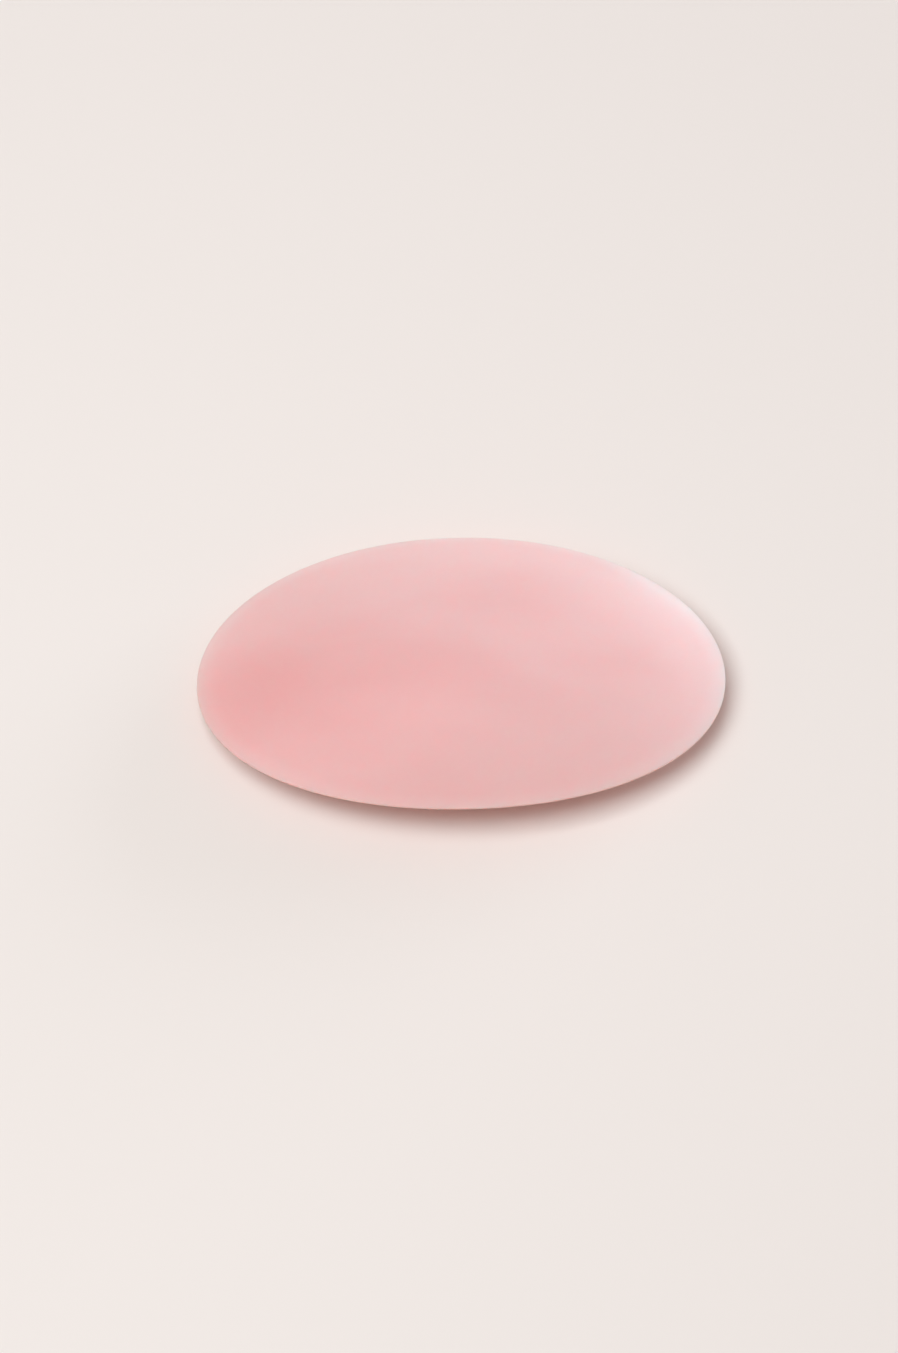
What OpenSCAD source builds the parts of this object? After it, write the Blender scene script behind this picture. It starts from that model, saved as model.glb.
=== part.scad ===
/* [Plan] */
// Length of the bar from tip to tip
bar_length = 106; // [90:1:120]
// Width of the bar across its middle
bar_width = 60; // [52:1:68]
// Fullness of the oval, where 2 is a true ellipse and more is squarer
oval_power = 2.05; // [2:0.01:2.1]

/* [Height] */
// Height of the bar from the resting face to the crown
bar_height = 22; // [20:0.5:26]
// Height of the parting edge at the middle of each long side
edge_height_side = 11; // [9:0.5:13]
// Height of the parting edge at the two tips, lower because the edge is arched
edge_height_tip = 6.5; // [5:0.5:8.5]

/* [Edge and resting face] */
// Height of the blunt band along the parting edge
edge_band = 0.8; // [0.4:0.1:1.2]
// Depth by which the rounded underside is cut to give a flat resting face
rest_cut = 0.3; // [0.2:0.05:0.6]

/* [Hidden] */

soap_pink = [0.93, 0.73, 0.72];

half_length = bar_length / 2;
half_width = bar_width / 2;

// Both faces stop half a band short of the edge line.
face_gap = edge_band / 2;

// Drop of the upper face from the crown to the edge, and rise of the lower face
crown_drop_side = bar_height - edge_height_side - face_gap;
crown_drop_tip = bar_height - edge_height_tip - face_gap;
belly_rise_side = edge_height_side - face_gap + rest_cut;
belly_rise_tip = edge_height_tip - face_gap + rest_cut;

// Stock left below each barrel face, and the overhang of the stock past the plan
stock_depth = 2 * bar_height;
stock_margin = 2;

oval_points = 144;
face_facets = 240;

// Radius of the arc that falls by the given drop over the given half span
function arc_radius(half_span, drop) = (half_span * half_span + drop * drop) / (2 * drop);

// One coordinate of a superellipse
function oval_arm(arm, trig) = arm * sign(trig) * pow(abs(trig), 2 / oval_power);

// A ring whose rim is an arc along the bar and whose section is an arc across it.
// The rim touches the plane z = 0 from below, above the origin.
module barrel_stock(rise_along, rise_across) {
    along_radius = arc_radius(half_length, rise_along);
    across_radius = arc_radius(half_width, rise_across);
    section_width = bar_width + 2 * stock_margin;
    translate([0, 0, -along_radius])
        rotate([90, 0, 0])
            rotate_extrude($fn = face_facets)
                intersection() {
                    translate([along_radius - across_radius, 0])
                        circle(r = across_radius, $fn = face_facets);
                    translate([along_radius - stock_depth, -section_width / 2])
                        square([stock_depth + stock_margin, section_width]);
                }
}

// Crowned upper face, with its crown at the full height
module upper_die() {
    translate([0, 0, bar_height])
        barrel_stock(crown_drop_tip, crown_drop_side);
}

// Rounded lower face, with its lowest line just under the resting plane
module lower_die() {
    translate([0, 0, -rest_cut])
        mirror([0, 0, 1])
            barrel_stock(belly_rise_tip, belly_rise_side);
}

// Straight-walled oval that blunts the edge and ends the bar at the resting plane
module oval_blank() {
    linear_extrude(height = bar_height + stock_margin)
        polygon([
            for (i = [0 : oval_points - 1])
                let (turn = 360 * i / oval_points)
                    [oval_arm(half_length, cos(turn)), oval_arm(half_width, sin(turn))]
        ]);
}

module soap_bar() {
    color(soap_pink)
        intersection() {
            upper_die();
            lower_die();
            oval_blank();
        }
}

soap_bar();
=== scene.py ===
"""Looks of an oval bar of soap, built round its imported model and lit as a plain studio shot."""

import math

import bmesh
import bpy
from bpy.props import FloatProperty, FloatVectorProperty, IntProperty, PointerProperty
from mathutils import Matrix, Vector


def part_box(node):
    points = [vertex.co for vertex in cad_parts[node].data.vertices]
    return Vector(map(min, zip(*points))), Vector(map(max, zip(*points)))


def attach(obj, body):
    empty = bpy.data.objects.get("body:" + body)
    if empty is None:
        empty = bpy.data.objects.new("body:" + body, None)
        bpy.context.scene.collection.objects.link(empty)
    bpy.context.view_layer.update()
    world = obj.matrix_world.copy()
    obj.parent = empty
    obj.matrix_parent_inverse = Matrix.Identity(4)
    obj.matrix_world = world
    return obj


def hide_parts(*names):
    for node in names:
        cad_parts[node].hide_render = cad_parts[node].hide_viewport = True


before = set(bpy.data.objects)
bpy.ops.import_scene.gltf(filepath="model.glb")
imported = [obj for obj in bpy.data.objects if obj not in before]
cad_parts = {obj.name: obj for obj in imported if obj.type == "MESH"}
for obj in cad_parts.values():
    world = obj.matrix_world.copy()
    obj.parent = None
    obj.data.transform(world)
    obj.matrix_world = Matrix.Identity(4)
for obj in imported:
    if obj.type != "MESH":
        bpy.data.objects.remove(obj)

bl_info = {
    "name": "Oval soap bar",
    "version": (1, 0, 0),
    "blender": (4, 5, 0),
    "location": "View3D > Sidebar > Soap",
    "description": "Presses an oval bar of soap and sets it on a plain lit table",
    "category": "Add Mesh",
}

MM = 0.001
NODE = "soap_bar"
BODY = "root"
LOW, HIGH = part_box(NODE)
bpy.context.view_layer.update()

# Points of the blank closer than WELD are one, and the cut takes points within CUT_SLACK as lying on it
WELD = 1e-6
CUT_SLACK = 1e-7
# A face belongs to the blunt band if it stands this near to upright and this high above the table
BAND_TILT = 0.2
BAND_FLOOR = 2 * MM
ROUNDING_SEGMENTS = 6

# Paleness runs from 0, the deep colour, to 1, the pale one. It grows towards the right tip and towards the
# far side, a painted sheen of the light from the upper right, and towards the thin edge, in a broad step of
# painted glow from light through the thin edge and in a painted line of light at the rim. Each step has its
# start and end, as shares of the way from the middle to the edge, and its height.
MEAN_PALENESS = 0.345
PAINTED_SHEEN_ALONG = 0.105
PAINTED_SHEEN_ACROSS = 0.07
PAINTED_EDGE_LIGHT_STEPS = {
    # Painted glow of light through the thin edge
    "painted_edge_glow": (0.55, 1.03, 0.10),
    # Painted line of light along the rim
    "painted_rim_light": (0.91, 1.00, 0.14),
}
# Spots where the colour is deeper: the middle of each in plan, its reach along and across the bar, and
# how much less pale it is. A spot is paler where that is below zero; the two paler spots at the far right
# end and rim are a painted sheen and a painted highlight of the light from the upper right.
COLOUR_AND_PAINTED_LIGHT_SPOTS = {
    "core": ((-22 * MM, -8 * MM), (54 * MM, 20 * MM), 0.29),
    "left_end": ((-44 * MM, -1 * MM), (22 * MM, 11 * MM), 0.11),
    "far_shoulder": ((12 * MM, 13 * MM), (24 * MM, 12 * MM), 0.13),
    "right_streak": ((32 * MM, -2 * MM), (22 * MM, 8 * MM), 0.09),
    # Painted sheen of the light from the upper right
    "painted_far_end_sheen": ((44 * MM, 19 * MM), (24 * MM, 16 * MM), -0.18),
    # Painted highlight along the far rim
    "painted_far_rim_highlight": ((54 * MM, 27 * MM), (26 * MM, 20 * MM), -0.75),
}
# Clouds change the paleness by up to CLOUD_DEPTH either way and are CLOUD_DRAW times as long as wide
CLOUD_DEPTH = 0.04
CLOUD_DRAW = 2.2
CLOUD_NOISE = {"Detail": 2.0, "Roughness": 0.5, "Distortion": 0.6}
CLOUD_LOW, CLOUD_HIGH = 0.3, 0.7
GRAIN_HEIGHT = 0.05 * MM
GRAIN_STRENGTH = 0.15
GRAIN_DETAIL = 3.0

# Satin skin of pressed soap, and how far red, green and blue light travel in it, as shares of the
# scatter depth
SOAP_ROUGHNESS = 0.46
SOAP_IOR = 1.47
SCATTER_RATIO = (1.0, 0.45, 0.40)
BOARD_ROUGHNESS = 0.9
BOARD_GLOSS = 0.2

# Each soft box: the direction it stands in, its distance and its width and height in metres,
# its share of the light on the table, and its colour
LAMPS = {
    "overhead_box": ((-0.27, -0.105, 0.96), 1.10, (0.62, 0.78), 0.775, "F6FEFF"),
    "window_panel": ((0.83, 0.52, 0.18), 1.50, (1.20, 0.60), 0.088, "EFF6FF"),
}
# The light of the room as a strength and a colour, at the horizon and higher up. The one fades into
# the other up to ROOM_FADE, the sine of an elevation.
ROOM_LOW = (0.95, "FFF4F0")
ROOM_HIGH = (0.27, "FFEAE2")
ROOM_FADE = 0.30

# Half the width of the table and, in metres from the bar, where it starts to fade and is all backdrop
TABLE_REACH = 3.0
LIT_REACH = 0.20
BACKDROP_REACH = 0.55

CAMERA_AIM = Vector((-2.41 * MM, -0.16 * MM, 9 * MM))
SENSOR_WIDTH = 36.0
FARTHEST_SEEN = 20.0

EASED = {"interpolation_type": "SMOOTHSTEP"}
# The sockets of a colour Mix node share their names with its other sockets, so they go by number
MIX_A, MIX_B, MIX_RESULT = 6, 7, 2
SECOND_TERM = 1


def colour(hex_code):
    """Linear RGB and alpha of an sRGB colour written as RRGGBB."""
    channels = [int(hex_code[i : i + 2], 16) / 255 for i in (0, 2, 4)]
    linear = [c / 12.92 if c <= 0.04045 else ((c + 0.055) / 1.055) ** 2.4 for c in channels]
    return (*linear, 1.0)


class SoapSizes(bpy.types.PropertyGroup):
    """Sizes of the bar, in metres."""

    edge_side: FloatProperty(
        name="Edge height at the sides",
        description="Height of the parting edge at the middle of each long side",
        default=11 * MM,
        unit="LENGTH",
    )
    edge_tip: FloatProperty(
        name="Edge height at the tips",
        description="Height of the parting edge at the two tips",
        default=6.5 * MM,
        unit="LENGTH",
    )
    edge_band: FloatProperty(
        name="Edge band",
        description="Height of the blunt band along the parting edge, before it is rounded",
        default=0.4 * MM,
        unit="LENGTH",
    )
    edge_round: FloatProperty(
        name="Edge rounding",
        description="Width of the rounding on each side of the band",
        default=0.18 * MM,
        unit="LENGTH",
    )
    rest_cut: FloatProperty(
        name="Resting cut",
        description="Depth of the cut that makes the flat resting face",
        default=0.3 * MM,
        unit="LENGTH",
    )
    oval_power: FloatProperty(
        name="Oval fullness",
        description="Fullness of the plan, where 2 is a true ellipse",
        default=2.05,
        min=1.9,
        max=2.2,
    )
    turn_steps: IntProperty(
        name="Steps round",
        description="Faces round the bar",
        default=288,
        min=48,
    )
    ring_steps: IntProperty(
        name="Steps across",
        description="Rings between the middle of a face and its edge",
        default=56,
        min=12,
    )


class SoapFinish(bpy.types.PropertyGroup):
    """Colours and grain of the soap."""

    # Painted sheen, painted edge glow and a painted highlight also run towards the pale colour
    pale_colour: FloatVectorProperty(
        name="Pale colour",
        description="Pink of the soap where it is thin or holds little dye",
        subtype="COLOR",
        size=4,
        min=0.0,
        max=1.0,
        default=colour("F5E1E2"),
    )
    deep_colour: FloatVectorProperty(
        name="Deep colour",
        description="Redder pink of the soap where the dye lies denser",
        subtype="COLOR",
        size=4,
        min=0.0,
        max=1.0,
        default=colour("EAB0B0"),
    )
    scatter_depth: FloatProperty(
        name="Scatter depth",
        description="How far red light travels inside the soap",
        default=6 * MM,
        unit="LENGTH",
    )
    cloud_size: FloatProperty(
        name="Cloud size",
        description="Width of the faint clouds that milling leaves in the dye",
        default=16 * MM,
        unit="LENGTH",
    )
    grain_size: FloatProperty(
        name="Grain size",
        description="Width of the finest unevenness of the pressed skin",
        default=1.2 * MM,
        unit="LENGTH",
    )


class StageLook(bpy.types.PropertyGroup):
    """Camera and table."""

    floor_colour: FloatVectorProperty(
        name="Table colour",
        description="Warm off-white of the table",
        subtype="COLOR",
        size=4,
        min=0.0,
        max=1.0,
        default=colour("F2EAE6"),
    )
    bounce_colour: FloatVectorProperty(
        name="Bounce colour",
        description="Colour of the light that the table sends back up",
        subtype="COLOR",
        size=4,
        min=0.0,
        max=1.0,
        default=colour("E8BCA8"),
    )
    lean: FloatProperty(
        name="Camera lean",
        description="Angle of the camera from straight overhead",
        default=math.radians(25.56),
        subtype="ANGLE",
    )
    turn: FloatProperty(
        name="Camera turn",
        description="Turn of the camera about the upright",
        default=math.radians(0.0),
        subtype="ANGLE",
    )
    roll: FloatProperty(
        name="Camera roll",
        description="Turn of the picture about the line of sight",
        default=math.radians(0.91),
        subtype="ANGLE",
    )
    lens: FloatProperty(
        name="Focal length",
        description="Focal length in millimetres on a 36 mm long side",
        default=100.0,
    )
    distance: FloatProperty(
        name="Camera distance",
        description="Distance from the camera to the point it looks at",
        default=0.7515,
        unit="LENGTH",
    )


def add_node(tree, kind, settings=None, inputs=None, links=None):
    """Adds a shader node, sets its attributes and its sockets, and links sockets to it. Links are
    given by the socket's name or number, or as a sequence in the order of the sockets."""
    node = tree.nodes.new(kind)
    for name, value in (settings or {}).items():
        setattr(node, name, value)
    for socket, value in (inputs or {}).items():
        node.inputs[socket].default_value = value
    for socket, source in links.items() if isinstance(links, dict) else enumerate(links or ()):
        tree.links.new(source, node.inputs[socket])
    return node


def total(tree, start, sources):
    """The start value plus all the sources."""
    added = {"operation": "ADD"}
    running = add_node(tree, "ShaderNodeMath", added, {SECOND_TERM: start}, sources[:1]).outputs["Value"]
    for source in sources[1:]:
        running = add_node(tree, "ShaderNodeMath", added, links=(source, running)).outputs["Value"]
    return running


def seen_rays(tree):
    """1 on rays that the eye follows, straight or by way of a gloss or a clear body, and 0 on the rest."""
    rays = add_node(tree, "ShaderNodeLightPath").outputs
    seen = rays["Is Camera Ray"]
    for kind in ("Is Glossy Ray", "Is Transmission Ray"):
        either = add_node(tree, "ShaderNodeMath", {"operation": "MAXIMUM"}, links=(seen, rays[kind]))
        seen = either.outputs["Value"]
    return seen


def new_material(name):
    """An empty node material."""
    material = bpy.data.materials.new(name)
    material.use_nodes = True
    material.node_tree.nodes.clear()
    return material


def arc_radius(half_span, drop):
    """Radius of the arc that falls by drop over half_span."""
    return (half_span**2 + drop**2) / (2 * drop)


def barrel_fall(x, y, fall_along, fall_across):
    """How far a barrel face has fallen below its crown at the plan point x, y."""
    along = arc_radius(HIGH.x, fall_along)
    across = arc_radius(HIGH.y, fall_across)
    section = along - across + math.sqrt(across**2 - y**2)
    return along - math.sqrt(section**2 - x**2)


def oval_point(radius, turn, power):
    """Plan point of the oval at a share of its radius, at the turn angle."""
    def arm(half, trig):
        return half * radius * math.copysign(abs(trig) ** (2 / power), trig)

    return arm(HIGH.x, math.cos(turn)), arm(HIGH.y, math.sin(turn))


def turned_blank(steps_round, steps_across):
    """A round blank of radius 1, its half outline spun about the upright. Its upper face lies at
    z = 1 and its lower one at z = -1."""
    blank = bmesh.new()
    shares = [i / steps_across for i in range(steps_across + 1)]
    outline = [(share, 1.0) for share in shares] + [(share, -1.0) for share in reversed(shares)]
    corners = [blank.verts.new((share, 0.0, side)) for share, side in outline]
    for start, end in zip(corners, corners[1:]):
        blank.edges.new((start, end))
    bmesh.ops.spin(
        blank,
        geom=blank.verts[:] + blank.edges[:],
        cent=(0, 0, 0),
        axis=(0, 0, 1),
        angle=math.tau,
        steps=steps_round,
        use_merge=True,
    )
    bmesh.ops.remove_doubles(blank, verts=blank.verts[:], dist=WELD)
    return blank


def press(blank, sizes):
    """Presses the round blank into the oval between the two barrel faces."""
    gap = sizes.edge_band / 2
    crown = (HIGH.z - sizes.edge_tip - gap, HIGH.z - sizes.edge_side - gap)
    belly = (sizes.edge_tip - gap + sizes.rest_cut, sizes.edge_side - gap + sizes.rest_cut)
    for corner in blank.verts:
        radius = min(corner.co.xy.length, 1.0)
        turn = math.atan2(corner.co.y, corner.co.x)
        x, y = oval_point(radius, turn, sizes.oval_power)
        if corner.co.z > 0:
            z = HIGH.z - barrel_fall(x, y, *crown)
        else:
            z = barrel_fall(x, y, *belly) - sizes.rest_cut
        corner.co = (x, y, z)


def cut_rest(bar):
    """Cuts the underside off at the table and closes it with a flat."""
    cut = bmesh.ops.bisect_plane(
        bar,
        geom=bar.verts[:] + bar.edges[:] + bar.faces[:],
        dist=CUT_SLACK,
        plane_co=(0, 0, 0),
        plane_no=(0, 0, -1),
        clear_outer=True,
    )
    rim = [item for item in cut["geom_cut"] if isinstance(item, bmesh.types.BMEdge)]
    bmesh.ops.contextual_create(bar, geom=rim)


def round_edge(bar, sizes):
    """Rounds both sides of the blunt band with a bevel."""
    upright = [face for face in bar.faces if abs(face.normal.z) < BAND_TILT]
    band = [face for face in upright if face.calc_center_median().z > BAND_FLOOR]
    band_edges = {edge for face in band for edge in face.edges}
    rims = [edge for edge in band_edges if sum(face in band for face in edge.link_faces) == 1]
    bmesh.ops.bevel(
        bar,
        geom=rims,
        offset=sizes.edge_round,
        offset_type="OFFSET",
        affect="EDGES",
        segments=ROUNDING_SEGMENTS,
        profile=0.5,
        material=-1,
    )


class SOAP_OT_press_bar(bpy.types.Operator):
    """Press the oval bar and give it the finish of milled soap"""

    bl_idname = "soap.press_bar"
    bl_label = "Press the bar"

    def execute(self, context):
        sizes = context.scene.soap_sizes
        bar = turned_blank(sizes.turn_steps, sizes.ring_steps)
        press(bar, sizes)
        cut_rest(bar)
        bar.normal_update()
        round_edge(bar, sizes)
        bmesh.ops.recalc_face_normals(bar, faces=bar.faces[:])
        for face in bar.faces:
            face.smooth = True
        mesh = bpy.data.meshes.new("pressed_bar")
        bar.to_mesh(mesh)
        bar.free()
        piece = bpy.data.objects.new("pressed_bar", mesh)
        context.scene.collection.objects.link(piece)
        piece.data.materials.append(milled_soap(context.scene.soap_finish))
        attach(piece, BODY)
        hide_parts(NODE)
        return {"FINISHED"}


def milled_soap(finish):
    """Milled toilet soap, pressed in polished dies: light soaks in and glows back out of the thin edge, with
    more glow painted along it, the colour lies in soft clouds with a deeper core, a painted sheen pales the
    right end and far side, a painted highlight lies on the far rim, and the skin has a satin sheen."""
    soap = new_material("milled_soap")
    tree = soap.node_tree
    place = add_node(tree, "ShaderNodeTexCoord").outputs["Object"]

    # Share of the way from the middle of the bar to its edge, along its length and across its width
    plan = add_node(
        tree,
        "ShaderNodeMapping",
        inputs={"Scale": (1 / HIGH.x, 1 / HIGH.y, 0.0)},
        links={"Vector": place},
    ).outputs["Vector"]
    reach = add_node(tree, "ShaderNodeVectorMath", {"operation": "LENGTH"}, links=(plan,)).outputs["Value"]
    shares = add_node(tree, "ShaderNodeSeparateXYZ", links={"Vector": plan}).outputs
    parts = []
    # Painted sheen of the light from the upper right: paler towards the right tip and the far side
    for axis, slope in (("X", PAINTED_SHEEN_ALONG), ("Y", PAINTED_SHEEN_ACROSS)):
        sloped = add_node(
            tree,
            "ShaderNodeMath",
            {"operation": "MULTIPLY"},
            {SECOND_TERM: slope},
            (shares[axis],),
        )
        parts.append(sloped.outputs["Value"])
    # Painted edge light: a glow of the thin edge and a line of light at the rim
    for start, end, height in PAINTED_EDGE_LIGHT_STEPS.values():
        step = add_node(
            tree,
            "ShaderNodeMapRange",
            EASED,
            {"From Min": start, "From Max": end, "To Min": 0.0, "To Max": height},
            {"Value": reach},
        )
        parts.append(step.outputs["Result"])

    # Each spot fades out from its middle; the paler ones are painted sheen and a painted highlight
    for middle, spread, depth in COLOUR_AND_PAINTED_LIGHT_SPOTS.values():
        spot = add_node(
            tree,
            "ShaderNodeMapping",
            {"vector_type": "TEXTURE"},
            {"Location": (*middle, 0.0), "Scale": (*spread, 1.0)},
            {"Vector": place},
        ).outputs["Vector"]
        away = add_node(tree, "ShaderNodeVectorMath", {"operation": "LENGTH"}, links=(spot,)).outputs["Value"]
        spot_shift = add_node(
            tree,
            "ShaderNodeMapRange",
            EASED,
            {"From Min": 0.0, "From Max": 1.0, "To Min": -depth, "To Max": 0.0},
            {"Value": away},
        )
        parts.append(spot_shift.outputs["Result"])

    # Clouds are drawn out along the bar, the way the milled noodles are pushed
    drawn = add_node(
        tree,
        "ShaderNodeMapping",
        inputs={"Scale": (1 / CLOUD_DRAW, 1.0, 1.0)},
        links={"Vector": place},
    ).outputs["Vector"]
    clouds = add_node(
        tree,
        "ShaderNodeTexNoise",
        inputs={"Scale": 1 / finish.cloud_size, **CLOUD_NOISE},
        links={"Vector": drawn},
    ).outputs["Fac"]
    clouded = add_node(
        tree,
        "ShaderNodeMapRange",
        EASED,
        {"From Min": CLOUD_LOW, "From Max": CLOUD_HIGH, "To Min": -CLOUD_DEPTH, "To Max": CLOUD_DEPTH},
        {"Value": clouds},
    )
    parts.append(clouded.outputs["Result"])

    # Soap colour with the painted sheen, edge glow and highlight mixed into it
    soap_and_painted_light_colour = add_node(
        tree,
        "ShaderNodeMix",
        {"data_type": "RGBA"},
        {MIX_A: finish.deep_colour, MIX_B: finish.pale_colour},
        {"Factor": total(tree, MEAN_PALENESS, parts)},
    ).outputs[MIX_RESULT]

    grain = add_node(
        tree,
        "ShaderNodeTexNoise",
        inputs={"Scale": 1 / finish.grain_size, "Detail": GRAIN_DETAIL},
        links={"Vector": place},
    ).outputs["Fac"]
    skin_bump = add_node(
        tree,
        "ShaderNodeBump",
        inputs={"Strength": GRAIN_STRENGTH, "Distance": GRAIN_HEIGHT},
        links={"Height": grain},
    ).outputs["Normal"]
    skin = add_node(
        tree,
        "ShaderNodeBsdfPrincipled",
        {"subsurface_method": "RANDOM_WALK"},
        {
            "Roughness": SOAP_ROUGHNESS,
            "IOR": SOAP_IOR,
            "Subsurface Weight": 1.0,
            "Subsurface Radius": SCATTER_RATIO,
            "Subsurface Scale": finish.scatter_depth,
        },
        {"Base Color": soap_and_painted_light_colour, "Normal": skin_bump},
    )
    add_node(tree, "ShaderNodeOutputMaterial", links={"Surface": skin.outputs["BSDF"]})
    return soap


def painted_board(look):
    """Matt painted board: an even, warm off-white with no sheen. The light that it sends back up is
    tinted, in place of the red light that a real bar lets through onto the board beside it."""
    board = new_material("painted_board")
    tree = board.node_tree
    seen = seen_rays(tree)
    paint = add_node(
        tree,
        "ShaderNodeMix",
        {"data_type": "RGBA"},
        {MIX_A: look.bounce_colour, MIX_B: look.floor_colour},
        {"Factor": seen},
    ).outputs[MIX_RESULT]
    coat = add_node(
        tree,
        "ShaderNodeBsdfPrincipled",
        inputs={"Roughness": BOARD_ROUGHNESS, "Specular IOR Level": BOARD_GLOSS},
        links={"Base Color": paint},
    )

    # Past the lamps' reach the board takes the backdrop's plain colour, so no dark edge shows behind the bar
    place = add_node(tree, "ShaderNodeTexCoord").outputs["Object"]
    away = add_node(tree, "ShaderNodeVectorMath", {"operation": "LENGTH"}, links=(place,)).outputs["Value"]
    farness = add_node(
        tree,
        "ShaderNodeMapRange",
        EASED,
        {"From Min": LIT_REACH, "From Max": BACKDROP_REACH, "To Min": 0.0, "To Max": 1.0},
        {"Value": away},
    ).outputs["Result"]
    times = {"operation": "MULTIPLY"}
    shown = add_node(tree, "ShaderNodeMath", times, links=(farness, seen)).outputs["Value"]
    backdrop = add_node(tree, "ShaderNodeEmission", inputs={"Color": look.floor_colour, "Strength": 1.0})
    surface = add_node(
        tree,
        "ShaderNodeMixShader",
        links=(shown, coat.outputs["BSDF"], backdrop.outputs["Emission"]),
    )
    add_node(tree, "ShaderNodeOutputMaterial", links={"Surface": surface.outputs["Shader"]})
    return board


def add_lamp(name, aim, lamp_place):
    """A soft box that faces the aim and gives the table its share of the light there."""
    direction, distance, size, share, tint = lamp_place
    away = Vector(direction).normalized()
    lamp = bpy.data.lights.new(name, "AREA")
    lamp.shape = "RECTANGLE"
    lamp.size, lamp.size_y = size
    lamp.color = colour(tint)[:3]
    lamp.energy = share * math.pi**2 * distance**2 / away.z
    holder = bpy.data.objects.new(name, lamp)
    bpy.context.scene.collection.objects.link(holder)
    holder.location = aim + away * distance
    holder.rotation_euler = away.to_track_quat("Z", "Y").to_euler()


def lit_room(look):
    """The light of a bright room, paler and stronger low down, behind a backdrop of the table's colour."""
    room = bpy.data.worlds.new("lit_room")
    room.use_nodes = True
    tree = room.node_tree
    tree.nodes.clear()
    direction = add_node(tree, "ShaderNodeTexCoord").outputs["Generated"]
    height = add_node(tree, "ShaderNodeSeparateXYZ", links={"Vector": direction}).outputs["Z"]
    highness = add_node(
        tree,
        "ShaderNodeMapRange",
        EASED,
        {"From Min": 0.0, "From Max": ROOM_FADE, "To Min": 0.0, "To Max": 1.0},
        {"Value": height},
    ).outputs["Result"]
    lights = []
    low_strength, low_tint = ROOM_LOW
    high_strength, high_tint = ROOM_HIGH
    shades = (
        (low_strength, colour(low_tint)),
        (high_strength, colour(high_tint)),
        (1.0, look.floor_colour),
    )
    for strength, shade in shades:
        light = add_node(tree, "ShaderNodeBackground", inputs={"Color": shade, "Strength": strength})
        lights.append(light.outputs["Background"])
    low, high, backdrop = lights
    room_light = add_node(tree, "ShaderNodeMixShader", links=(highness, low, high)).outputs["Shader"]
    surface = add_node(tree, "ShaderNodeMixShader", links=(seen_rays(tree), room_light, backdrop))
    add_node(tree, "ShaderNodeOutputWorld", links={"Surface": surface.outputs["Shader"]})
    return room


class SOAP_OT_set_stage(bpy.types.Operator):
    """Lay the table and set the camera and the lamps"""

    bl_idname = "soap.set_stage"
    bl_label = "Set the stage"

    def execute(self, context):
        look = context.scene.soap_stage
        scene = context.scene
        scene.view_settings.view_transform = "Standard"

        board = bmesh.new()
        bmesh.ops.create_grid(board, x_segments=1, y_segments=1, size=TABLE_REACH)
        mesh = bpy.data.meshes.new("table")
        board.to_mesh(mesh)
        board.free()
        table = bpy.data.objects.new("table", mesh)
        scene.collection.objects.link(table)
        table.data.materials.append(painted_board(look))

        camera = bpy.data.cameras.new("camera")
        camera.sensor_width = SENSOR_WIDTH
        camera.lens = look.lens
        camera.clip_end = FARTHEST_SEEN
        holder = bpy.data.objects.new("camera", camera)
        scene.collection.objects.link(holder)
        tilt = Matrix.Rotation(look.turn, 4, "Z") @ Matrix.Rotation(look.lean, 4, "X")
        pose = tilt @ Matrix.Rotation(-look.roll, 4, "Z")
        back = Matrix.Translation((0, 0, look.distance))
        holder.matrix_world = Matrix.Translation(CAMERA_AIM) @ pose @ back
        scene.camera = holder

        for name, lamp_place in LAMPS.items():
            add_lamp(name, CAMERA_AIM, lamp_place)

        scene.world = lit_room(look)
        return {"FINISHED"}


class SOAP_PT_panel(bpy.types.Panel):
    """Lists the steps that make the bar and its stage"""

    bl_idname = "SOAP_PT_panel"
    bl_label = "Oval soap bar"
    bl_space_type = "VIEW_3D"
    bl_region_type = "UI"
    bl_category = "Soap"

    def draw(self, context):
        for step in (SOAP_OT_press_bar, SOAP_OT_set_stage):
            self.layout.operator(step.bl_idname)


CLASSES = (
    SoapSizes,
    SoapFinish,
    StageLook,
    SOAP_OT_press_bar,
    SOAP_OT_set_stage,
    SOAP_PT_panel,
)


def register():
    for cls in CLASSES:
        bpy.utils.register_class(cls)
    bpy.types.Scene.soap_sizes = PointerProperty(type=SoapSizes)
    bpy.types.Scene.soap_finish = PointerProperty(type=SoapFinish)
    bpy.types.Scene.soap_stage = PointerProperty(type=StageLook)


def unregister():
    del bpy.types.Scene.soap_stage
    del bpy.types.Scene.soap_finish
    del bpy.types.Scene.soap_sizes
    for cls in reversed(CLASSES):
        bpy.utils.unregister_class(cls)


def main():
    register()
    bpy.ops.soap.press_bar()
    bpy.ops.soap.set_stage()


if __name__ == "__main__":
    main()
